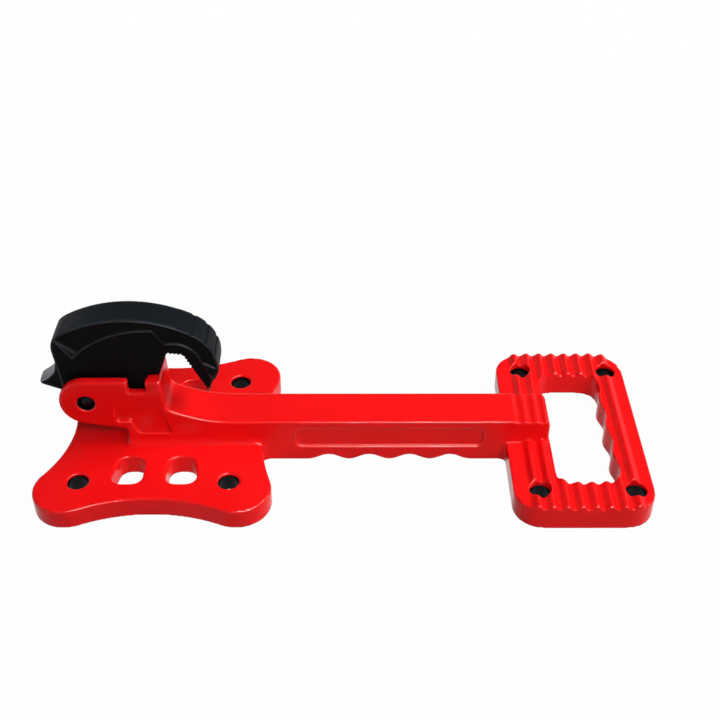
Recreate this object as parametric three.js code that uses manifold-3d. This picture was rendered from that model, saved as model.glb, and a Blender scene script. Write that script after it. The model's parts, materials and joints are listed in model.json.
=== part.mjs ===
// A portable bolt-down pipe vise: a one-piece cast frame with a four-lobed base, a carrying arm and a
// ribbed foot stirrup, and a steel hook jaw that swings on a pin between the two ears of the head.
// Millimetres, +Z up. The origin is on the underside, at the middle of the base's four bolt holes.
// +X runs along the arm to the foot, and the jaw's pin runs along Y.
import * as THREE from 'three';
import { mergeVertices } from 'three/addons/utils/BufferGeometryUtils.js';
import Module from 'manifold-3d';

// Fits and roundings
const fit = 0.3; // gap between pieces that seat or turn on each other
const castRound = 1.2; // rounding of the arm's and the head's edges
const edgeRound = 1; // rounding of the base's and the foot's edges
const overlap = 1; // depth by which features of one casting run into each other

// Fineness of the faces
const arcStep = 12; // degrees
const arcChord = 3;
const bendSteps = 4;
const turnedSides = 40;
const waveSteps = 8; // for each rib or finger
const smallest = 0.01; // shortest step between two points of an outline

// Base plate
const baseThickness = 13.5;
const baseHoleSpanX = 89.3;
const baseHoleSpanY = 93.5;
const boltHole = 12.7;
const lobeRadius = 20.3;
const lobeOffset = 5.5; // bolt hole to the middle of its lobe, along X and along Y
const sideWaist = 61.8; // half width of the base between its lobes
const headWaist = 55; // origin to the base's edge under the jaw's tail
const armWaist = 62; // origin to the base's edge beside the arm
const windowBar = 14; // bar between the two windows of a pair
const windowNear = 25.7; // centreline to the window's inner edge
const windowWidth = 22.9;
const windowInnerLength = 15.2;
const windowOuterLength = 19.6;
const windowCorner = 6.2;

// Arm
const armWidth = 28.2;
const armHeight = 31.1;
const armLength = 212.8; // origin to the foot's edge
const rootFillet = 4.5; // between the arm's sides and the base's top
const baseFillet = 4.5; // between the arm's sides and the base's edge
const gripInset = 71.8; // foot's edge to the middle of the arm's finger grip
const fingerPitch = 25;
const fingerCount = 4;
const armFingerDepth = 4;
const panelLength = 115;
const panelHeight = 13.6;
const panelBottom = 11.2;
const panelDepth = 2;
const panelCorner = 4;

// Foot stirrup
const footLength = 83;
const footWidth = 145.2;
const footThickness = 14.6; // at the valleys between the ribs
const footCorner = 17;
const footFillet = 3; // between the arm's sides and the foot's edge
const ribHeight = 2.9;
const ribPitch = 8.385;
const ribCount = 8;
const ribInset = 13; // foot's edge at the arm to the first rib's crest
const armRibInset = 3.7; // foot's edge to the end of the arm's flat top
const armRibPitch = 6.7;
const armRibDepth = 1.5;
const armRibCount = 3;
const footHoleInsetArm = 15.7;
const footHoleInsetEnd = 11;
const footHoleInsetSide = 16.9;
const columnWidth = 26.8; // foot's edge at the arm to the handle opening
const gripWidth = 20.2; // handle bar at the ridges between the fingers
const barWidth = 22.1; // foot's sides beside the handle opening
const columnRound = 3.5; // arm's end above the handle opening
const openingCorner = 10;
const handleFingerDepth = 2.8;

// Head: ears, heel and pipe seat
const pinX = -41.2;
const pinZ = 45.6;
const earRadius = 16.4;
const earGap = 17.6;
const earFoot = 25; // height at which the ears' underside meets the pedestal
const pedestalX = -18.8; // the pedestal's wall under the ears
const slotFloor = 38;
const heelX = 4.5; // heel's face at its top
const heelLean = 1.9; // how far the heel's face runs out at its foot
const heelThickness = 8;
const seatRise = 9.3; // heel's foot above the arm
const seatRun = 24.2; // length of the sloping pipe seat
const seatFillet = 4;
const seatBlend = 14;
const notchWidth = 10.6;
const notchDepth = 8.4;
const notchInset = 9; // heel's face to the notch in the ears
const pocketDepth = 3;
const pocketTop = 41.6;
const pocketShelf = 31.5; // floor of the pocket's end under the ear
const pocketLedge = 22.4;
const pocketCorner = 2;
const pocketFlare = 3.1; // heel's face to the lower end of the pocket
const pocketReach = 5.8; // pedestal's wall to the pocket's end under the ear
const pocketKnee = 3.1; // pedestal's wall to the end of the pocket's shelf
const pocketLedgeInset = 6.9; // pedestal's wall to the pocket's ledge

// Pivot
const pinDiameter = 9.9;
const pinChamfer = 0.9;
const pinCrown = 1.5; // rise of the pin's domed ends
const ringThickness = 1;
const ringInset = 0.8; // ear's face to the retaining ring's groove
const ringPlay = 0.4; // groove's width over the ring's
const grooveDepth = 0.9;
const ringWidth = 1.3;
const ringOpening = 60; // degrees
const washerThickness = 1.2;
const washerWidth = 5;
const bushWall = 1.5;

// Hook jaw, measured from the pin
const jawWeb = 14.6;
const jawFlange = 21.3;
const jawHeight = 58.6;
const jawReach = 80.7;
const jawBack = 17.5;
const crownOffset = 28.5; // pin to the highest point of the crown
const crownRadius = 78;
const noseRadius = 28;
const noseEnd = -8; // degrees round the nose
const backRadius = 16;
const rimProud = 0.4; // flange over the web, round the outside
const rimRound = 1;
const flangeStart = 144; // degrees round the back corner
const hubRadius = 13.5;
const hubStart = 290; // degrees round the pin
const hubEnd = 195;
const webCorner = 4;
const shoulderSetback = 1; // heel's face to the jaw's web above it
const throatLeft = 50.5;
const throatRight = 59.7;
const throatTop = 32.2;
const throatDrop = 1.2;
const tipU = 71.8;
const tipW = 6.4;
const tipWidth = 1.6;
const chinU = 77;
const chinW = 12.6;
const toothPitch = 2.4;
const toothDepth = 1.2;
const hookBandU = 54.5; // middle of the hook's inner flange edge
const hookBandW = 24.5;
const hookBandRadius = 16;
const hookBandStart = 17; // degrees
const hookBandEnd = 103;
const crownBandU = 39.9; // middle of the long inner flange edge
const crownBandW = -8.8;
const crownBandRadius = 58.6;
const crownBandStart = 86; // degrees
const crownBandEnd = 139;
const flangeEndU = 78.4;
const flangeEndW = 14.9;
const flangeEndWidth = 2.6;
const channelDepth = 1.2; // hollow along each side of the flange
const channelRim = 1.2; // flange's outer edge to the hollow
const channelLip = 1.6; // flange's inner edge to the hollow
const channelTurn = 6; // degrees from the flange's ends to the hollow's
const grooveCount = 3;
const grooveFirst = 20; // degrees round the nose
const grooveStep = 20;
const noseGrooveWidth = 2.4;
const noseGrooveDepth = 0.8;
const tailWidth = 11;
const tailTipU = -25.6; // middle of the tail's round tip
const tailTipW = 9.6;
const tailTipRadius = 2.4;
const tailTipStart = 125; // degrees round the tip
const tailTipEnd = 250;
const tailRoot = 22.5;
const tailFoot = 2;
const tailRound = 1.6;

// Finishes
const castRed = { color: 0xd9161a, roughness: 0.28, metalness: 0.1 };
const jawBlack = { color: 0x1c1f24, roughness: 0.42, metalness: 0.35 };
const pinSteel = { color: 0x2a2c30, roughness: 0.35, metalness: 0.8 };
const ringSteel = { color: 0x24262a, roughness: 0.45, metalness: 0.8 };
const washerSteel = { color: 0x9da2a8, roughness: 0.35, metalness: 0.9 };
const bushBronze = { color: 0xa67a3d, roughness: 0.4, metalness: 0.85 };

// Derived places
const armHalf = armWidth / 2;
const earTop = pinZ + earRadius;
const heelRootX = heelX + heelLean;
const slotEnd = heelX - heelThickness;
const footEnd = armLength + footLength;
const gripX = armLength - gripInset;
const openingX = armLength + columnWidth;
const handleX = footEnd - gripWidth;
const armEnd = armLength + armRibInset;
const openingHalf = footWidth / 2 - barWidth;
const pinRadius = pinDiameter / 2;
const boreRadius = pinRadius + fit;
const grooveWidth = ringThickness + ringPlay;
const ringY = armHalf - ringInset - grooveWidth / 2;
const pinHalf = armHalf - ringInset - grooveWidth;
const hubHalf = earGap / 2 - fit - washerThickness - fit;
const bushRadius = boreRadius + bushWall;
const washerRadius = boreRadius + washerWidth;

const wasm = await Module();
wasm.setup();

// A closed solid from a three.js geometry, with its shared vertices merged.
function solid(geometry) {
  const bare = geometry.clone();
  bare.deleteAttribute('normal');
  bare.deleteAttribute('uv');
  const merged = mergeVertices(bare);
  const corners = merged.index.array;
  const kept = [];
  for (let i = 0; i < corners.length; i += 3) {
    const [a, b, c] = corners.slice(i, i + 3);
    if (a !== b && b !== c && c !== a) kept.push(a, b, c);
  }
  const vertProperties = merged.attributes.position.array;
  return new wasm.Manifold(new wasm.Mesh({ numProp: 3, vertProperties, triVerts: new Uint32Array(kept) }));
}

function piece(name, body, finish) {
  const { vertProperties, triVerts } = body.getMesh();
  const geometry = new THREE.BufferGeometry();
  geometry.setAttribute('position', new THREE.BufferAttribute(vertProperties, 3));
  geometry.setIndex(new THREE.BufferAttribute(triVerts, 1));
  geometry.computeVertexNormals();
  const mesh = new THREE.Mesh(geometry, new THREE.MeshStandardMaterial(finish));
  mesh.name = name;
  return mesh;
}

const join = (solids) => solids.reduce((whole, next) => whole.add(next));
const cut = (body, tools) => tools.reduce((whole, next) => whole.subtract(next), body);
const sides = [-1, 1];
const radians = THREE.MathUtils.degToRad;
const at = (x, y) => new THREE.Vector2(x, y);

// The points of an arc from one angle to another, clockwise where the second is the smaller.
function arc(x, y, radius, from, to) {
  const turn = Math.abs(to - from);
  const steps = Math.max(1, Math.ceil((turn * radius) / arcChord), Math.ceil(turn / radians(arcStep)));
  return new THREE.EllipseCurve(x, y, radius, radius, from, to, to < from).getPoints(steps);
}

// The points of a smooth bend from one place to another, drawn towards a corner.
const bend = (from, corner, to) => new THREE.QuadraticBezierCurve(from, corner, to).getPoints(bendSteps);

// The points through corners that are each rounded with the same radius.
function rounded(corners, radius) {
  return corners.flatMap((corner, i) => {
    const before = corners.at(i - 1).clone().sub(corner).normalize();
    const after = corners[(i + 1) % corners.length].clone().sub(corner).normalize();
    const half = before.angleTo(after) / 2;
    const inward = before.clone().add(after).setLength(radius / Math.sin(half));
    const middle = corner.clone().add(inward);
    const lean = (Math.PI / 2 - half) * Math.sign(before.cross(after));
    const facing = inward.negate().angle();
    return arc(middle.x, middle.y, radius, facing + lean, facing - lean);
  });
}

const circle = (x, y, diameter) => arc(x, y, diameter / 2, 0, 2 * Math.PI);

// The points of an outline, without those that repeat where one curve runs into the next.
const distinct = (points) => points.filter((point, i) => point.distanceTo(points.at(i - 1)) > smallest);

// An extrusion of an outline with holes, whose edges are rounded inside the outline.
function extrusion(points, holes, depth, round) {
  const outline = new THREE.Shape(distinct(points));
  outline.holes = holes.map((hole) => new THREE.Path(distinct(hole)));
  const geometry = new THREE.ExtrudeGeometry(outline, {
    depth: depth - 2 * round,
    bevelEnabled: round > 0,
    bevelThickness: round,
    bevelSize: round,
    bevelOffset: -round,
    bevelSegments: 2,
  });
  return geometry.translate(0, 0, round);
}

// Extruded up from the ground, with the outline drawn in X and Y. Its lower rounding is under the ground.
const upright = (points, height, round = 0, holes = []) =>
  solid(extrusion(points, holes, height + round, round).translate(0, 0, -round));

// Extruded across Y about a middle plane, with the outline drawn in X and Z.
const crosswise = (points, width, round = 0, middle = 0, holes = []) =>
  solid(extrusion(points, holes, width, round).rotateX(Math.PI / 2).translate(0, middle + width / 2, 0));

// Extruded along X from a place, with the outline drawn in Y and Z.
const lengthwise = (points, x, length) =>
  solid(extrusion(points, [], length, 0).rotateX(Math.PI / 2).rotateZ(Math.PI / 2).translate(x, 0, 0));

// A turned piece about an axis along Y, whose profile lists radius and Y.
const turned = (profile, x = 0, z = 0) =>
  solid(new THREE.LatheGeometry(profile.map(([r, y]) => at(r, y)), turnedSides).translate(x, 0, z));

const disc = (radius, from, to, x = 0, z = 0) =>
  turned([[0, from], [radius, from], [radius, to], [0, to]], x, z);

function tube(inner, outer, length) {
  const half = length / 2;
  return turned([[inner, -half], [outer, -half], [outer, half], [inner, half], [inner, -half]]);
}

// One side of the base: a hollow arc that is tangent to the round lobes at its two ends.
function waistArc(facing, waist, lobeOut, lobeAcross) {
  const rise = waist - lobeOut;
  const radius = (rise ** 2 + lobeAcross ** 2 - lobeRadius ** 2) / (2 * (lobeRadius - rise));
  const lean = Math.atan2(lobeAcross, rise + radius);
  const middle = at(waist + radius, 0).rotateAround(at(0, 0), facing);
  return arc(middle.x, middle.y, radius, facing + Math.PI + lean, facing + Math.PI - lean);
}

// The base's outline is four round lobes, one round each bolt hole, joined by the hollow sides.
function baseOutline() {
  const [lobeX, lobeY] = [baseHoleSpanX / 2 + lobeOffset, baseHoleSpanY / 2 + lobeOffset];
  const waists = [
    waistArc(0, armWaist, lobeX, lobeY),
    waistArc(Math.PI / 2, sideWaist, lobeY, lobeX),
    waistArc(Math.PI, headWaist, lobeX, lobeY),
    waistArc((3 * Math.PI) / 2, sideWaist, lobeY, lobeX),
  ];
  const lobes = [at(lobeX, lobeY), at(-lobeX, lobeY), at(-lobeX, -lobeY), at(lobeX, -lobeY)];
  return waists.flatMap((waist, i) => {
    const lobe = lobes[i];
    const next = waists[(i + 1) % waists.length];
    const from = waist.at(-1).clone().sub(lobe).angle();
    const to = next[0].clone().sub(lobe).angle();
    return [...waist, ...arc(lobe.x, lobe.y, lobeRadius, from, to > from ? to : to + 2 * Math.PI)];
  });
}

function basePlate() {
  const inner = windowBar / 2;
  const windowFar = windowNear + windowWidth;
  const holes = [];
  for (const sx of sides) {
    for (const sy of sides) {
      const corners = [
        at(sx * inner, sy * windowNear),
        at(sx * (inner + windowInnerLength), sy * windowNear),
        at(sx * (inner + windowOuterLength), sy * windowFar),
        at(sx * inner, sy * windowFar),
      ];
      holes.push(rounded(corners, windowCorner));
      holes.push(circle((sx * baseHoleSpanX) / 2, (sy * baseHoleSpanY) / 2, boltHole));
    }
  }
  return upright(baseOutline(), baseThickness, edgeRound, holes);
}

// The angle round the pin at which the ears' straight underside touches their round ends.
function earTangent() {
  const away = at(pinX - pedestalX, pinZ - earFoot);
  return away.angle() + Math.asin(earRadius / away.length()) + Math.PI / 2;
}

// A number of smooth waves, as pairs of the turn and a rise between zero and one.
const waves = (count) => Array.from({ length: count * waveSteps + 1 }, (_, i) => {
  const turn = i / waveSteps;
  return [turn, (1 - Math.cos(2 * Math.PI * turn)) / 2];
});

// Finger hollows along an edge, as pairs of the distance from the middle and the depth.
const fingerHollows = (depth) =>
  waves(fingerCount).map(([turn, rise]) => [(turn - fingerCount / 2) * fingerPitch, rise * depth]);

// The side view of pedestal, ears, heel, pipe seat and arm, which are one casting across the arm's width.
function spineOutline() {
  const seatRoot = at(heelRootX, armHeight + seatRise);
  const wall = at(heelX, earTop).sub(seatRoot).setLength(seatFillet);
  const slope = at(seatRun, -seatRise).setLength(1);
  const seatEnd = at(heelRootX + seatRun, armHeight);
  const blend = at(seatBlend, 0);
  const columnEnd = openingX - columnRound;
  return [
    at(pedestalX, 0),
    at(pedestalX, earFoot),
    ...arc(pinX, pinZ, earRadius, earTangent(), Math.PI / 2),
    at(heelX, earTop),
    ...bend(seatRoot.clone().add(wall), seatRoot, seatRoot.clone().addScaledVector(slope, seatFillet)),
    ...bend(seatEnd.clone().addScaledVector(slope, -seatBlend), seatEnd, seatEnd.clone().add(blend)),
    at(columnEnd, armHeight),
    at(openingX - overlap, armHeight - columnRound),
    at(openingX - overlap, 0),
    ...fingerHollows(armFingerDepth).map(([along, depth]) => at(gripX - along, depth)),
  ];
}

// The grooves across the top of the arm's end.
function armGrooves() {
  const bottom = waves(armRibCount).map(([turn, rise]) =>
    at(armEnd + turn * armRibPitch, armHeight - rise * armRibDepth));
  const high = armHeight + overlap;
  const outline = [...bottom, at(bottom.at(-1).x, high), at(armEnd, high)];
  return crosswise(outline, armWidth + 2 * overlap);
}

// The space above the foot's ribs and above the flat margins beside them.
function footValleys() {
  const first = armLength + ribInset - ribPitch / 2;
  const tops = waves(ribCount).map(([turn, rise]) =>
    at(first + turn * ribPitch, footThickness + rise * ribHeight));
  const [left, right] = [armLength - overlap, footEnd + overlap];
  const high = footThickness + ribHeight + overlap;
  const outline = [
    at(left, footThickness),
    ...tops,
    at(right, footThickness),
    at(right, high),
    at(left, high),
  ];
  return crosswise(outline, footWidth + 2 * overlap);
}

// The section of a strip that fills the corner between two square faces with a hollow arc.
function cornerFillet(u, v, signU, signV, radius) {
  const section = [
    at(-overlap, -overlap),
    at(radius, -overlap),
    ...arc(radius, radius, radius, -Math.PI / 2, -Math.PI),
    at(-overlap, radius),
  ];
  return section.map((point) => at(u + signU * point.x, v + signV * point.y));
}

// Fillets along the arm's foot, where its sides rise from the base.
function rootFillets() {
  const length = armWaist - pedestalX;
  return sides.map((side) => {
    const section = cornerFillet(side * armHalf, baseThickness, side, 1, rootFillet);
    return lengthwise(section, pedestalX, length);
  });
}

// Upright fillets in the corners between the arm's sides and the edge of a plate.
const edgeFillets = (x, facing, radius, height) => sides.map((side) =>
  upright(cornerFillet(x, side * armHalf, facing, side, radius), height));

// The open space between the ears, in which the jaw swings.
function earSlot() {
  const left = pinX - 2 * earRadius;
  const low = (baseThickness + earFoot) / 2;
  const high = earTop + overlap;
  const outline = [
    at(left, low),
    at(pedestalX, low),
    at(pedestalX, slotFloor),
    at(slotEnd, slotFloor),
    at(slotEnd, high),
    at(left, high),
  ];
  return crosswise(outline, earGap);
}

function earNotch() {
  const right = heelX - notchInset;
  const left = right - notchWidth;
  const floor = earTop - notchDepth;
  const high = earTop + overlap;
  const outline = [at(left, floor), at(right, floor), at(right, high), at(left, high)];
  return crosswise(outline, armWidth + 2 * overlap);
}

// A hollow of the same outline in both sides of the arm.
function sideHollows(corners, radius, depth) {
  const outline = rounded(corners, radius);
  const middle = armHalf + (overlap - depth) / 2;
  return sides.map((side) => crosswise(outline, depth + overlap, 0, side * middle));
}

// The hollow below each ear, which steps down from a shelf to a ledge above the base.
function earPockets() {
  const corners = [
    at(pedestalX - pocketReach, pocketTop),
    at(heelX - overlap, pocketTop),
    at(heelX + pocketFlare, pocketLedge),
    at(pedestalX + pocketLedgeInset, pocketLedge),
    at(pedestalX + pocketKnee, pocketShelf),
    at(pedestalX - pocketReach, pocketShelf),
  ];
  return sideHollows(corners, pocketCorner, pocketDepth);
}

function armPanels() {
  const [left, right] = [gripX - panelLength / 2, gripX + panelLength / 2];
  const top = panelBottom + panelHeight;
  const corners = [at(left, panelBottom), at(right, panelBottom), at(right, top), at(left, top)];
  return sideHollows(corners, panelCorner, panelDepth);
}

// The pin's bore through both ears, with a groove near each outer face for a retaining ring.
function pivotBore() {
  const reach = armHalf + overlap;
  const grooves = sides.map((side) => {
    const middle = side * ringY;
    const half = grooveWidth / 2;
    return disc(boreRadius + grooveDepth, middle - half, middle + half, pinX, pinZ);
  });
  return [disc(boreRadius, -reach, reach, pinX, pinZ), ...grooves];
}

// The hand opening, with finger hollows along the side of the handle bar.
function handleOpening() {
  const far = openingHalf;
  const near = openingX + openingCorner;
  const grip = fingerHollows(handleFingerDepth).map(([along, depth]) => at(handleX + depth, along));
  const fingers = grip.slice(waveSteps / 2, -waveSteps / 2);
  const lowEnd = fingers[0];
  const highEnd = fingers.at(-1);
  return [
    ...bend(at(openingX, openingCorner - far), at(openingX, -far), at(near, -far)),
    ...bend(at(handleX - openingCorner, -far), at(lowEnd.x, -far), lowEnd),
    ...fingers,
    ...bend(highEnd, at(highEnd.x, far), at(handleX - openingCorner, far)),
    ...bend(at(near, far), at(openingX, far), at(openingX, far - openingCorner)),
  ];
}

function footPlate() {
  const half = footWidth / 2;
  const corners = [at(armLength, -half), at(footEnd, -half), at(footEnd, half), at(armLength, half)];
  const holes = [handleOpening()];
  for (const x of [armLength + footHoleInsetArm, footEnd - footHoleInsetEnd]) {
    for (const side of sides) {
      holes.push(circle(x, side * (half - footHoleInsetSide), boltHole));
    }
  }
  const plate = upright(rounded(corners, footCorner), footThickness + ribHeight, edgeRound, holes);
  return cut(plate, [footValleys()]);
}

// The space under the ground, which leaves the casting's underside flat up to its edges.
const underground = () =>
  solid(new THREE.BoxGeometry(4 * footEnd, 2 * footWidth, 2 * edgeRound).translate(0, 0, -edgeRound));

function viseFrame() {
  const spine = crosswise(spineOutline(), armWidth, castRound);
  const casting = join([
    basePlate(),
    cut(spine, [armGrooves()]),
    footPlate(),
    ...rootFillets(),
    ...edgeFillets(armWaist, 1, baseFillet, baseThickness),
    ...edgeFillets(armLength, -1, footFillet, footThickness),
  ]);
  const spaces = [underground(), earSlot(), earNotch(), ...earPockets(), ...armPanels(), ...pivotBore()];
  return cut(casting, spaces);
}

// The jaw's outer contour is three arcs, each tangent to the next: the back corner, crown and nose.
function jawArcs() {
  const crown = at(crownOffset, jawHeight - crownRadius);
  const rise = (u, radius) => Math.sqrt((crownRadius - radius) ** 2 - (u - crown.x) ** 2);
  const inside = (u, radius) => at(u, crown.y + rise(u, radius));
  const back = inside(backRadius - jawBack, backRadius);
  const nose = inside(jawReach - noseRadius, noseRadius);
  return { crown, back, nose };
}

// The outer contour from a place on the back corner, over the crown, to a place on the nose.
function jawRim(inset, startAngle, endAngle) {
  const { crown, back, nose } = jawArcs();
  const backAngle = back.clone().sub(crown).angle();
  const noseAngle = nose.clone().sub(crown).angle();
  return [
    ...arc(back.x, back.y, backRadius - inset, startAngle, backAngle),
    ...arc(crown.x, crown.y, crownRadius - inset, backAngle, noseAngle),
    ...arc(nose.x, nose.y, noseRadius - inset, noseAngle, endAngle),
  ];
}

// Teeth along a straight edge, with their crests on the edge and their roots to its right.
function teeth(from, to) {
  const run = to.clone().sub(from);
  const count = Math.max(1, Math.round(run.length() / toothPitch));
  const inward = at(run.y, -run.x).setLength(toothDepth);
  return Array.from({ length: count }, (_, i) => [
    from.clone().lerp(to, i / count),
    from.clone().lerp(to, (i + 0.5) / count).add(inward),
  ]).flat();
}

// The web carries the hub, the toothed throat and the shoulder that rests on the heel.
function jawWebOutline() {
  const slotU = slotEnd - fit - pinX;
  const shoulder = earRadius + fit;
  const throatStart = at(throatLeft, throatTop);
  const throatTurn = at(throatRight, throatTop - throatDrop);
  const tip = at(tipU, tipW);
  return [
    ...jawRim(rimProud, Math.PI, radians(noseEnd)),
    at(chinU, chinW),
    at(tipU + tipWidth, tipW),
    ...teeth(tip, throatTurn),
    ...teeth(throatTurn, throatStart),
    throatStart,
    at(heelX - shoulderSetback - pinX, shoulder),
    at(slotU, shoulder),
    ...bend(at(slotU, webCorner), at(slotU, 0), at(slotU - webCorner, 0)),
    ...arc(0, 0, hubRadius, radians(hubStart), radians(hubEnd)),
  ];
}

// The flange is a wide band along the outer contour, from the back corner to the hook's tip.
function jawFlangeOutline() {
  return [
    ...jawRim(0, radians(flangeStart), radians(noseEnd)),
    at(flangeEndU, flangeEndW),
    at(flangeEndU - flangeEndWidth, flangeEndW),
    ...arc(hookBandU, hookBandW, hookBandRadius, radians(hookBandStart), radians(hookBandEnd)),
    ...arc(crownBandU, crownBandW, crownBandRadius, radians(crownBandStart), radians(crownBandEnd)),
  ];
}

// A shallow hollow along both sides of the flange, which leaves a lip along its inner edge.
function flangeChannels() {
  const hookRadius = hookBandRadius + channelLip;
  const bandRadius = crownBandRadius + channelLip;
  const bandEnd = crownBandEnd - channelTurn;
  const outline = [
    ...jawRim(channelRim, radians(flangeStart - channelTurn), radians(noseEnd + channelTurn)),
    ...arc(hookBandU, hookBandW, hookRadius, radians(hookBandStart - channelTurn), radians(hookBandEnd)),
    ...arc(crownBandU, crownBandW, bandRadius, radians(crownBandStart), radians(bandEnd)),
  ];
  const middle = (jawFlange + overlap - channelDepth) / 2;
  return sides.map((side) => crosswise(outline, channelDepth + overlap, 0, side * middle));
}

// The tail is a thumb tab behind the pin.
function jawTail() {
  const tip = arc(tailTipU, tailTipW, tailTipRadius, radians(tailTipStart), radians(tailTipEnd));
  const back = at(rimProud - jawBack, tailRoot);
  const outline = [
    at(-jawBack / 2, tailRoot),
    ...bend(back, at(-jawBack, (tailRoot + tip[0].y) / 2), tip[0]),
    ...tip,
    at(-hubRadius, tailFoot),
    at(-jawBack / 2, tailFoot),
  ];
  return crosswise(outline, tailWidth, tailRound);
}

// Shallow grooves across the outside of the nose.
function noseGrooves() {
  const { nose } = jawArcs();
  return Array.from({ length: grooveCount }, (_, i) => {
    const angle = radians(grooveFirst + i * grooveStep);
    const box = new THREE.BoxGeometry(2 * noseGrooveDepth, jawFlange + 2 * overlap, noseGrooveWidth);
    const place = nose.clone().addScaledVector(at(Math.cos(angle), Math.sin(angle)), noseRadius);
    return solid(box.rotateY(-angle).translate(place.x, 0, place.y));
  });
}

function hookJaw() {
  const body = join([
    crosswise(jawWebOutline(), jawWeb),
    crosswise(jawFlangeOutline(), jawFlange, rimRound),
    jawTail(),
  ]);
  const bore = disc(bushRadius + fit, -jawWeb, jawWeb);
  const frontSeat = disc(washerRadius + fit, -jawWeb, -hubHalf);
  const rearSeat = disc(washerRadius + fit, hubHalf, jawWeb);
  return cut(body, [bore, frontSeat, rearSeat, ...flangeChannels(), ...noseGrooves()]);
}

// The pin, with a chamfer and a low dome at each end.
function pivotPin() {
  const rim = pinRadius - pinChamfer;
  const domeRadius = (rim ** 2 + pinCrown ** 2) / (2 * pinCrown);
  const domeTurn = Math.asin(rim / domeRadius);
  const dome = arc(0, pinHalf + pinCrown - domeRadius, domeRadius, Math.PI / 2 - domeTurn, Math.PI / 2);
  const upper = [[pinRadius, pinHalf - pinChamfer], ...dome.slice(0, -1).map((point) => [point.x, point.y])];
  const lower = upper.map(([r, y]) => [r, -y]).reverse();
  const tip = pinHalf + pinCrown;
  return turned([[0, -tip], ...lower, ...upper, [0, tip]]);
}

// An open spring ring for the groove in an ear's bore.
function retainingRing() {
  const outer = boreRadius + grooveDepth - fit;
  const inner = outer - ringWidth;
  const start = radians(ringOpening / 2 - 90);
  const end = radians(270 - ringOpening / 2);
  return crosswise([...arc(0, 0, outer, start, end), ...arc(0, 0, inner, end, start)], ringThickness);
}

const vise = new THREE.Group();
vise.add(piece('vise_frame', viseFrame(), castRed));

const pivot = new THREE.Group();
pivot.position.set(pinX, 0, pinZ);
vise.add(pivot);
pivot.add(piece('hook_jaw', hookJaw(), jawBlack));
pivot.add(piece('jaw_bush', tube(boreRadius, bushRadius, 2 * hubHalf), bushBronze));
pivot.add(piece('pivot_pin', pivotPin(), pinSteel));

const washerY = earGap / 2 - fit - washerThickness / 2;
for (const [side, sign] of [['front', -1], ['rear', 1]]) {
  const ring = piece(`${side}_retaining_ring`, retainingRing(), ringSteel);
  ring.position.y = sign * ringY;
  const washerBody = tube(boreRadius, washerRadius, washerThickness);
  const washer = piece(`${side}_thrust_washer`, washerBody, washerSteel);
  washer.position.y = sign * washerY;
  pivot.add(ring, washer);
}

export default vise;
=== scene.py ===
import json
import math

import bmesh
import bpy
import numpy as np
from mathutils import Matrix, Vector


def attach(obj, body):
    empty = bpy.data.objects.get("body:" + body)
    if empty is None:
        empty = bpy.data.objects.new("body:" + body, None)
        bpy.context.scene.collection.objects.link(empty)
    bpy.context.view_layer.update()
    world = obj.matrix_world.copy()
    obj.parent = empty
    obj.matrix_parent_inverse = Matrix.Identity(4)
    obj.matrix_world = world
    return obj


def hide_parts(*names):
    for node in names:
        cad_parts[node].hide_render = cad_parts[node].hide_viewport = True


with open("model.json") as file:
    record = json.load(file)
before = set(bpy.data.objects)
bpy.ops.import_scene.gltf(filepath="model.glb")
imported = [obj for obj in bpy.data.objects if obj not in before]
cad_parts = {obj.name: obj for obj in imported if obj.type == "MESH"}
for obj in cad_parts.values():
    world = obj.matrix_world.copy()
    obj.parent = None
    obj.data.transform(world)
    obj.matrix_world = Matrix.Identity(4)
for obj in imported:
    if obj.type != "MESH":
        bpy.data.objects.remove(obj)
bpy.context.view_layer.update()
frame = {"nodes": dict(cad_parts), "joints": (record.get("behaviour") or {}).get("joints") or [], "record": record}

# Places are in metres, and angles in degrees.
PIVOT = Vector(frame["joints"][0]["pos_m"])
OPENINGS = frame["record"]["physics"]["openings"]

# The bolt holes, and how far a hole's wall and its eased edge lie from the hole's axis.
HOLES = [opening["box_m"] for opening in OPENINGS if "_hole_" in opening["name"]]
HOLE_WALL = 0.0068
HOLE_EDGE = 0.0095

# A bolt hole's wall is painted near-black below a collar of red, as painted shade. The collar's height changes
# along the arm's last stretch.
BASE_COLLAR = 0.0122
FOOT_COLLAR = 0.0127
COLLAR_FADE = 0.0007
COLLAR_CHANGE = 0.05

# The pin's bore is painted near-black, as painted shade, this far from its axis, and this far from the middle of
# the head.
BORE_WALL = 0.0065
BORE_MOUTH = 0.0135

# Zones of the casting. A box is given by its lowest and highest corners.
FOOT_EDGE = 0.2128
PLATE_TOP = 0.011
BASE = ((-0.08, -0.08, 0.0), (0.08, 0.08, 0.0145))
WINDOWS = ((-0.031, -0.053, 0.0), (0.031, 0.053, 0.02))
ARM_ROOT = ((-0.03, -0.027, 0.0125), (0.075, 0.027, 0.021))

# Zones of the jaw, measured from its pin.
TEETH = ((0.036, -0.0076, 0.002), (0.075, 0.0076, 0.042))
NOSE = ((0.058, -0.02, 0.02), (0.09, 0.02, 0.07))
THUMB = ((-0.03, -0.0056, 0.008), (-0.0175, 0.0056, 0.02))

# Points of a CAD node that lie closer than this are one point.
MERGE = 1e-6

# How many rings of points beside a rim or an inner corner are eased with it.
EASED_RINGS = 3

# How finely the two big pieces are skinned, the share of faces kept, and how often their edges are eased.
CASTING_SKIN = 0.0006
CASTING_KEEP = 0.3
CASTING_PASSES = 7
RIB_PASSES = 4
RIM_PASSES = 26
CORNER_PASSES = 30
JAW_SKIN = 0.0004
JAW_KEEP = 0.45
JAW_PASSES = 20
NOSE_PASSES = 7
TEETH_PASSES = 2

# How often the jaw's relief is spread, which widens the painted highlight along its ridges.
RIDGE_PASSES = 14

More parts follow.
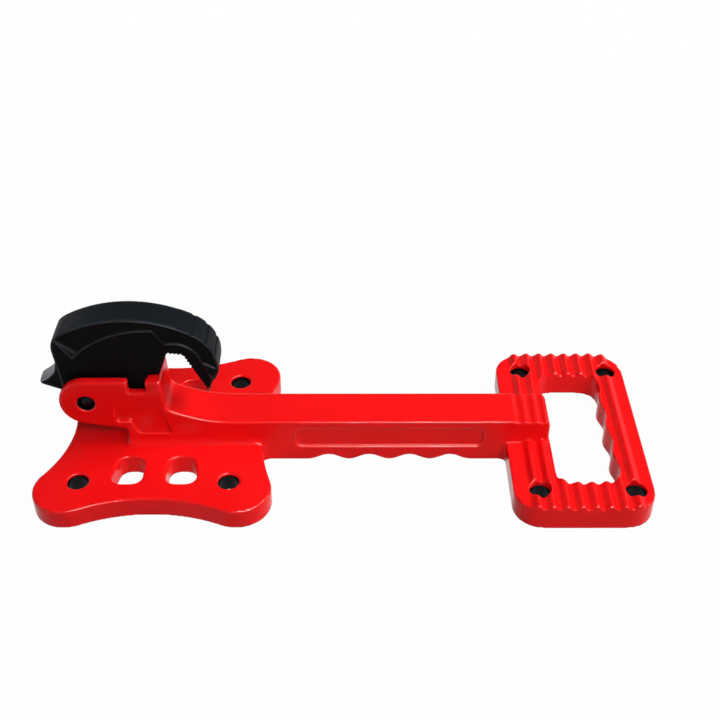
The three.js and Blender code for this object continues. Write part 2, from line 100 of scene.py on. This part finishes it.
# Relief is how far a point gave way, in steps of this length. Rims lie above RIM, and corners below HOLLOW.
RELIEF_UNIT = 0.0004
RIM = 0.5
HOLLOW = -0.04

# How far up the normals of a hole's wall may point, and how far those of the thumb's face have to.
UPRIGHT = 0.5
THUMB_TILT = 0.2

# Colours of the finishes, as linear red, green, blue and alpha. A metal has a dark and a light shade.
RED_DEEP = (0.80, 0.004, 0.006, 1)
RED_LIGHT = (0.90, 0.007, 0.007, 1)
# Painted highlight: lighter red on convex edges.
RED_EDGE_HIGHLIGHT = (0.95, 0.02, 0.016, 1)
# Painted shade: darker red in inner corners.
RED_CORNER_SHADE = (0.45, 0.001, 0.003, 1)
RED_SPECK = (0.5, 0.002, 0.003, 1)
# Painted shade: near-black on the walls of the bolt holes and the pin's bore.
HOLE_SHADE = (0.0025, 0.002, 0.0022, 1)
BLACK_DEEP = (0.0004, 0.0005, 0.0008, 1)
BLACK_LIGHT = (0.0012, 0.0015, 0.0022, 1)
# Painted sheen: lighter bluish black where the jaw faces up.
BLACK_UPPER_SHEEN = (0.006, 0.0086, 0.0118, 1)
# Painted highlight: grey along the jaw's ridges.
BLACK_RIDGE_HIGHLIGHT = (0.033, 0.039, 0.047, 1)
# Painted glint: light grey on the thumb's face.
BLACK_THUMB_GLINT = (0.2, 0.205, 0.235, 1)
PIN_STEEL = ((0.006, 0.006, 0.007, 1), (0.014, 0.014, 0.016, 1))
SPRING_STEEL = ((0.006, 0.006, 0.007, 1), (0.012, 0.012, 0.014, 1))
WASHER_STEEL = ((0.42, 0.43, 0.45, 1), (0.56, 0.57, 0.59, 1))
BRONZE = ((0.36, 0.2, 0.07, 1), (0.5, 0.3, 0.11, 1))
ROOM_WHITE = (1, 1, 1, 1)
FLOOR_GREY = (0.3, 0.3, 0.3, 1)

# The studio. The edge softbox hangs where the front one does, and the floor lies just under the part.
LENS = 58.24
SENSOR = 36
CAMERA_PLACE = (0.1224, -0.5465, 0.49566)
CAMERA_DIP = 38.056
CAMERA_TURN = -0.0398
PART_MIDDLE = (0.11, 0, 0.03)
FRONT_PLACE = (0.45, -0.6, 0.78)
FRONT_AIM = (0.18, 0, 0.04)
FRONT_SIZE = (0.84, 0.22)
FLOOR_HALF = 6
FLOOR_DROP = 0.0002


def add_object(name, data):
    thing = bpy.data.objects.new(name, data)
    bpy.context.collection.objects.link(thing)
    return thing


def merged_copy(node, name):
    """A copy of a CAD node as one connected skin."""
    mesh = frame["nodes"][node].data.copy()
    mesh.name = name
    mesh.materials.clear()
    bm = bmesh.new()
    bm.from_mesh(mesh)
    bmesh.ops.remove_doubles(bm, verts=bm.verts, dist=MERGE)
    bm.to_mesh(mesh)
    bm.free()
    return add_object(name, mesh)


def apply_modifiers(piece):
    depsgraph = bpy.context.evaluated_depsgraph_get()
    mesh = bpy.data.meshes.new_from_object(piece.evaluated_get(depsgraph))
    piece.modifiers.clear()
    piece.data = mesh


def even_skin(piece, size):
    """Covers the piece with small even faces."""
    skin = piece.modifiers.new("skin", "REMESH")
    skin.mode = "VOXEL"
    skin.voxel_size = size
    skin.use_smooth_shade = True
    apply_modifiers(piece)


def thin_out(piece, share):
    """Keeps a share of the faces, most of them where the surface bends."""
    thinning = piece.modifiers.new("thinning", "DECIMATE")
    thinning.ratio = share
    apply_modifiers(piece)


def rows_of(layer, field):
    """A mesh layer's values as rows of three."""
    values = np.empty(len(layer) * 3)
    layer.foreach_get(field, values)
    return values.reshape(-1, 3)


def places_of(piece):
    return rows_of(piece.data.vertices, "co")


def facing_of(piece):
    return rows_of(piece.data.vertex_normals, "vector")


def edge_ends(piece):
    ends = np.empty(len(piece.data.edges) * 2, dtype=int)
    piece.data.edges.foreach_get("vertices", ends)
    return ends.reshape(-1, 2).T


def keep_values(piece, name, values):
    """Keeps one value for each point as an attribute, which the finishes read."""
    layer = piece.data.attributes.new(name, "FLOAT", "POINT")
    layer.data.foreach_set("value", values.astype(np.float32))


def within(places, corners):
    low, high = np.array(corners)
    return np.all((places > low) & (places < high), axis=1)


def soften(piece, chosen, passes):
    """Eases the chosen points towards their neighbours."""
    bm = bmesh.new()
    bm.from_mesh(piece.data)
    bm.verts.ensure_lookup_table()
    verts = [bm.verts[i] for i in np.flatnonzero(chosen)]
    for _ in range(passes):
        bmesh.ops.smooth_vert(bm, verts=verts, factor=0.5, use_axis_x=True, use_axis_y=True, use_axis_z=True)
    bm.to_mesh(piece.data)
    bm.free()


def relief_from(piece, sharp):
    """How far each point gave way: above zero on edges, and below zero in inner corners."""
    moved = sharp - places_of(piece)
    return np.einsum("ij,ij->i", moved, facing_of(piece)) / RELIEF_UNIT


def grown(piece, chosen, rings):
    """The chosen points with some rings of their neighbours."""
    first, second = edge_ends(piece)
    chosen = chosen.copy()
    for _ in range(rings):
        reached = chosen.copy()
        reached[first] |= chosen[second]
        reached[second] |= chosen[first]
        chosen = reached
    return chosen


def spread_out(piece, values, passes):
    """The values, each blended with those of the points around it."""
    first, second = edge_ends(piece)
    points = np.concatenate((first, second))
    others = np.concatenate((second, first))
    count = np.bincount(points, minlength=len(values))
    for _ in range(passes):
        around = np.bincount(points, weights=values[others], minlength=len(values)) / count
        values = (values + around) / 2
    return values


def near_holes(places, reach):
    """The points that lie within a reach of a bolt hole's axis."""
    near = np.zeros(len(places), dtype=bool)
    for low, high in HOLES:
        x, y = (low[0] + high[0]) / 2, (low[1] + high[1]) / 2
        near |= np.hypot(places[:, 0] - x, places[:, 1] - y) < reach
    return near


def in_bore(places):
    """The points inside the pin's bore."""
    away = np.hypot(places[:, 0] - PIVOT.x, places[:, 2] - PIVOT.z)
    return (away < BORE_WALL) & (np.abs(places[:, 1]) < BORE_MOUTH)


def outer_rim(places, relief):
    """The upper edges round the base and the foot, without those of the holes and the windows."""
    plates = within(places, BASE) & ~within(places, WINDOWS) | (places[:, 0] > FOOT_EDGE)
    return plates & (relief > RIM) & (places[:, 2] > PLATE_TOP) & ~near_holes(places, HOLE_EDGE)


def make_casting():
    """The red casting with eased edges, the plates' rims and the arm's root most of all."""
    casting = merged_copy("vise_frame", "red_casting")
    even_skin(casting, CASTING_SKIN)
    sharp = places_of(casting)
    upright = np.abs(facing_of(casting)[:, 2]) < UPRIGHT
    on_foot = sharp[:, 0] > FOOT_EDGE
    soften(casting, ~on_foot, CASTING_PASSES)
    soften(casting, on_foot, RIB_PASSES)
    relief = relief_from(casting, sharp)
    keep_values(casting, "relief", relief)
    keep_values(casting, "hole", near_holes(sharp, HOLE_WALL) & upright)
    keep_values(casting, "bore", in_bore(sharp))
    soften(casting, grown(casting, outer_rim(sharp, relief), EASED_RINGS), RIM_PASSES)
    corners = (relief < HOLLOW) & within(sharp, ARM_ROOT)
    soften(casting, grown(casting, corners, EASED_RINGS), CORNER_PASSES)
    thin_out(casting, CASTING_KEEP)
    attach(casting, "frame")
    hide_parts("vise_frame")
    return casting


def make_jaw():
    """The hook jaw with soft ridges and crisp teeth."""
    jaw = merged_copy("hook_jaw", "black_hook_jaw")
    even_skin(jaw, JAW_SKIN)
    sharp = places_of(jaw)
    from_pin = sharp - np.array(PIVOT)
    teeth = within(from_pin, TEETH)
    nose = within(from_pin, NOSE) & ~teeth
    soften(jaw, teeth, TEETH_PASSES)
    soften(jaw, nose, NOSE_PASSES)
    soften(jaw, ~teeth & ~nose, JAW_PASSES)
    facing = facing_of(jaw)
    keep_values(jaw, "relief", spread_out(jaw, relief_from(jaw, sharp), RIDGE_PASSES))
    keep_values(jaw, "upward", facing[:, 2])
    keep_values(jaw, "thumb", within(from_pin, THUMB) & (facing[:, 0] < 0) & (facing[:, 2] > THUMB_TILT))
    thin_out(jaw, JAW_KEEP)
    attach(jaw, "jaw")
    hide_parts("hook_jaw")
    return jaw


def plug(tree, socket, value):
    """Links an output to the socket, or sets the socket to a number or colour."""
    if isinstance(value, bpy.types.NodeSocket):
        tree.links.new(value, socket)
    else:
        socket.default_value = value


def fill(tree, node, values):
    """Plugs values into a node's inputs by their names."""
    for name, value in values.items():
        plug(tree, node.inputs[name], value)


def map_range(tree, source, low, high, to_low=0.0, to_high=1.0):
    """Runs from to_low to to_high as the source goes from low to high."""
    node = tree.nodes.new("ShaderNodeMapRange")
    ends = {"From Min": low, "From Max": high, "To Min": to_low, "To Max": to_high}
    fill(tree, node, {"Value": source, **ends})
    return node.outputs["Result"]


def maths(tree, operation, first, second):
    node = tree.nodes.new("ShaderNodeMath")
    node.operation = operation
    plug(tree, node.inputs[0], first)
    plug(tree, node.inputs[1], second)
    return node.outputs["Value"]


def split(tree, vector):
    node = tree.nodes.new("ShaderNodeSeparateXYZ")
    plug(tree, node.inputs["Vector"], vector)
    return node.outputs


class Finish:
    """A procedural material whose patterns lie on the piece's own coordinates."""

    def __init__(self, name):
        self.material = bpy.data.materials.new(name)
        self.material.use_nodes = True
        self.tree = self.material.node_tree
        self.shader = self.tree.nodes["Principled BSDF"]
        self.place = self.tree.nodes.new("ShaderNodeTexCoord").outputs["Object"]

    def set(self, **values):
        """Sets the shader's inputs, whose names have underscores here for spaces."""
        fill(self.tree, self.shader, {name.replace("_", " "): value for name, value in values.items()})

    def noise(self, size, detail=2.0, roughness=0.5):
        """Noise whose blots are about the given size, in metres."""
        node = self.tree.nodes.new("ShaderNodeTexNoise")
        grain = {"Scale": 1 / size, "Detail": detail, "Roughness": roughness}
        fill(self.tree, node, {"Vector": self.place, **grain})
        return node.outputs["Fac"]

    def attribute(self, name):
        node = self.tree.nodes.new("ShaderNodeAttribute")
        node.attribute_name = name
        return node.outputs["Fac"]

    def between(self, source, low, high, to_low=0.0, to_high=1.0):
        return map_range(self.tree, source, low, high, to_low, to_high)

    def maths(self, operation, first, second):
        return maths(self.tree, operation, first, second)

    def over(self, amount, under, upper):
        """The upper colour laid over the one under it, by an amount from 0 to 1."""
        node = self.tree.nodes.new("ShaderNodeMix")
        node.data_type = "RGBA"
        colours = [socket for socket in node.inputs if socket.type == "RGBA"]
        for socket, value in zip((node.inputs["Factor"], *colours), (amount, under, upper)):
            plug(self.tree, socket, value)
        return next(socket for socket in node.outputs if socket.type == "RGBA")

    def bump(self, source, depth, strength, under=None):
        node = self.tree.nodes.new("ShaderNodeBump")
        fill(self.tree, node, {"Height": source, "Distance": depth, "Strength": strength})
        if under is not None:
            plug(self.tree, node.inputs["Normal"], under)
        return node.outputs["Normal"]

    def on(self, piece):
        piece.data.materials.clear()
        piece.data.materials.append(self.material)


def painted_hole_shade(coat):
    """Painted shade: one on the walls of the pin's bore, and of the bolt holes below their red collars, where the
    walls are painted near-black as shade.
    """
    x, _, z = split(coat.tree, coat.place)
    collar = coat.between(x, FOOT_EDGE - COLLAR_CHANGE, FOOT_EDGE, BASE_COLLAR, FOOT_COLLAR)
    below = coat.between(coat.maths("SUBTRACT", collar, z), 0, COLLAR_FADE)
    bare = coat.maths("MULTIPLY", below, coat.attribute("hole"))
    return coat.maths("MAXIMUM", bare, coat.attribute("bore"))


def red_powder_coat():
    """Smooth red paint with a painted highlight on edges, painted shade in inner corners and near-black painted
    shade in the holes, glossier on edges, with fine specks.
    """
    coat = Finish("red powder coat")
    relief = coat.attribute("relief")
    specks = coat.between(coat.noise(0.0016, detail=1), 0.74, 0.8, 0, 0.2)
    colour = coat.over(coat.noise(0.05, detail=3), RED_DEEP, RED_LIGHT)
    # Painted highlight on convex edges.
    colour = coat.over(coat.between(relief, 0.3, 1.6, 0, 0.5), colour, RED_EDGE_HIGHLIGHT)
    # Painted shade in inner corners.
    colour = coat.over(coat.between(relief, -0.1, -1.0, 0, 0.5), colour, RED_CORNER_SHADE)
    colour = coat.over(specks, colour, RED_SPECK)
    waves = coat.bump(coat.noise(0.011), 0.0005, 0.08)
    coat.set(
        # Painted shade: the hole and bore walls go near-black.
        Base_Color=coat.over(painted_hole_shade(coat), colour, HOLE_SHADE),
        Roughness=coat.between(coat.noise(0.02, detail=3), 0.3, 0.7, 0.13, 0.2),
        Normal=coat.bump(coat.noise(0.0014, detail=1), 0.0002, 0.08, waves),
        Specular_IOR_Level=coat.between(relief, 0.2, 0.9, 0.1, 0.9),
        IOR=1.45,
    )
    return coat


def black_jaw_paint():
    """Dull black paint with a painted bluish sheen where it faces up, painted highlights along ridges and a
    painted glint on the thumb's face.
    """
    paint = Finish("black jaw paint")
    thumb_glint = paint.attribute("thumb")
    colour = paint.over(paint.noise(0.02, detail=4), BLACK_DEEP, BLACK_LIGHT)
    # Painted sheen where the jaw faces up.
    colour = paint.over(paint.between(paint.attribute("upward"), 0.3, 0.95), colour, BLACK_UPPER_SHEEN)
    # Painted highlight along the ridges.
    colour = paint.over(paint.between(paint.attribute("relief"), 0.05, 0.4, 0, 0.8), colour, BLACK_RIDGE_HIGHLIGHT)
    grain = paint.bump(paint.noise(0.0011, detail=3, roughness=0.6), 0.0003, 0.2)
    paint.set(
        # Painted glint on the thumb's face.
        Base_Color=paint.over(paint.between(thumb_glint, 0, 1, 0, 0.8), colour, BLACK_THUMB_GLINT),
        Roughness=paint.between(paint.noise(0.006, detail=4), 0.3, 0.7, 0.34, 0.5),
        Normal=paint.bump(paint.noise(0.008), 0.0004, 0.15, grain),
        Specular_IOR_Level=paint.between(thumb_glint, 0, 1, 0.04, 0.8),
    )
    return paint


def turned_metal(name, shades, roughness):
    """Machined metal with fine marks from turning."""
    metal = Finish(name)
    marks = metal.noise(0.0006, detail=4, roughness=0.7)
    metal.set(
        Base_Color=metal.over(marks, *shades),
        Roughness=metal.between(marks, 0.3, 0.7, roughness - 0.08, roughness + 0.08),
        Normal=metal.bump(marks, 0.00008, 0.3),
        Metallic=1.0,
    )
    return metal


def dress_pivot():
    """Finishes the small pieces on the pin, which keep their CAD shapes."""
    nodes = frame["nodes"]
    turned_metal("blackened pin steel", PIN_STEEL, 0.2).on(nodes["pivot_pin"])
    spring = turned_metal("blackened spring steel", SPRING_STEEL, 0.36)
    ground = turned_metal("ground washer steel", WASHER_STEEL, 0.32)
    for side in ("front", "rear"):
        spring.on(nodes[f"{side}_retaining_ring"])
        ground.on(nodes[f"{side}_thrust_washer"])
    turned_metal("bearing bronze", BRONZE, 0.36).on(nodes["jaw_bush"])


def add_camera():
    data = bpy.data.cameras.new("camera")
    data.lens = LENS
    data.sensor_width = SENSOR
    data.clip_start = 0.01
    data.clip_end = 50
    camera = add_object("camera", data)
    camera.location = CAMERA_PLACE
    camera.rotation_euler = (math.radians(90 - CAMERA_DIP), 0, math.radians(CAMERA_TURN))
    bpy.context.scene.camera = camera


def add_softbox(name, place, aim, size, power, spread=180):
    data = bpy.data.lights.new(name, "AREA")
    data.shape = "RECTANGLE"
    data.size, data.size_y = size
    data.energy = power
    data.spread = math.radians(spread)
    lamp = add_object(name, data)
    lamp.location = place
    lamp.rotation_euler = (Vector(aim) - Vector(place)).to_track_quat("-Z", "Y").to_euler()
    return lamp


def seen_directly(tree):
    """One for rays from the camera, from glossy surfaces and through clear ones, and zero for others."""
    rays = tree.nodes.new("ShaderNodeLightPath").outputs
    shown = maths(tree, "MAXIMUM", rays["Is Camera Ray"], rays["Is Glossy Ray"])
    return maths(tree, "MAXIMUM", shown, rays["Is Transmission Ray"])


def light_studio():
    """Softboxes in a room with white walls and a dim ceiling. The edge one shows only in gloss."""
    add_softbox("right softbox", (1.3, 0.15, 1.25), PART_MIDDLE, (0.8, 0.7), power=24)
    add_softbox("front softbox", FRONT_PLACE, FRONT_AIM, FRONT_SIZE, power=0.95, spread=56)
    add_softbox("left softbox", (-0.9, -0.35, 0.35), PART_MIDDLE, (0.3, 0.5), power=0.5)
    edge_light = add_softbox("edge softbox", FRONT_PLACE, FRONT_AIM, FRONT_SIZE, power=45)
    edge_light.visible_diffuse = False
    world = bpy.data.worlds.new("studio")
    world.use_nodes = True
    tree = world.node_tree
    upward = split(tree, tree.nodes.new("ShaderNodeTexCoord").outputs["Generated"])["Z"]
    walls = map_range(tree, upward, 0.15, 0.42, 1.0, 0.25)
    room = tree.nodes["Background"].inputs
    plug(tree, room["Color"], ROOM_WHITE)
    plug(tree, room["Strength"], map_range(tree, seen_directly(tree), 0, 1, 0.14, walls))
    bpy.context.scene.world = world


def lay_floor():
    """A floor that is seen as white, with a trace of the part's shadow."""
    bm = bmesh.new()
    bmesh.ops.create_grid(bm, x_segments=1, y_segments=1, size=FLOOR_HALF)
    bmesh.ops.translate(bm, verts=bm.verts, vec=(0, 0, -FLOOR_DROP))
    mesh = bpy.data.meshes.new("floor")
    bm.to_mesh(mesh)
    bm.free()
    floor = add_object("floor", mesh)
    white = Finish("white floor")
    white.set(Base_Color=FLOOR_GREY, Roughness=0.9, Specular_IOR_Level=0.1)
    tree = white.tree
    away = tree.nodes.new("ShaderNodeVectorMath")
    away.operation = "LENGTH"
    plug(tree, away.inputs[0], white.place)
    share = map_range(tree, away.outputs["Value"], 0.3, 0.7, 0.98, 1.0)
    mix = tree.nodes.new("ShaderNodeMixShader")
    plug(tree, mix.inputs["Fac"], map_range(tree, seen_directly(tree), 0, 1, 0, share))
    plug(tree, mix.inputs[1], white.shader.outputs["BSDF"])
    plug(tree, mix.inputs[2], tree.nodes.new("ShaderNodeEmission").outputs["Emission"])
    plug(tree, tree.nodes["Material Output"].inputs["Surface"], mix.outputs["Shader"])
    white.on(floor)


add_camera()
light_studio()
lay_floor()
red_powder_coat().on(make_casting())
black_jaw_paint().on(make_jaw())
dress_pivot()
bpy.context.scene.view_settings.view_transform = "Standard"
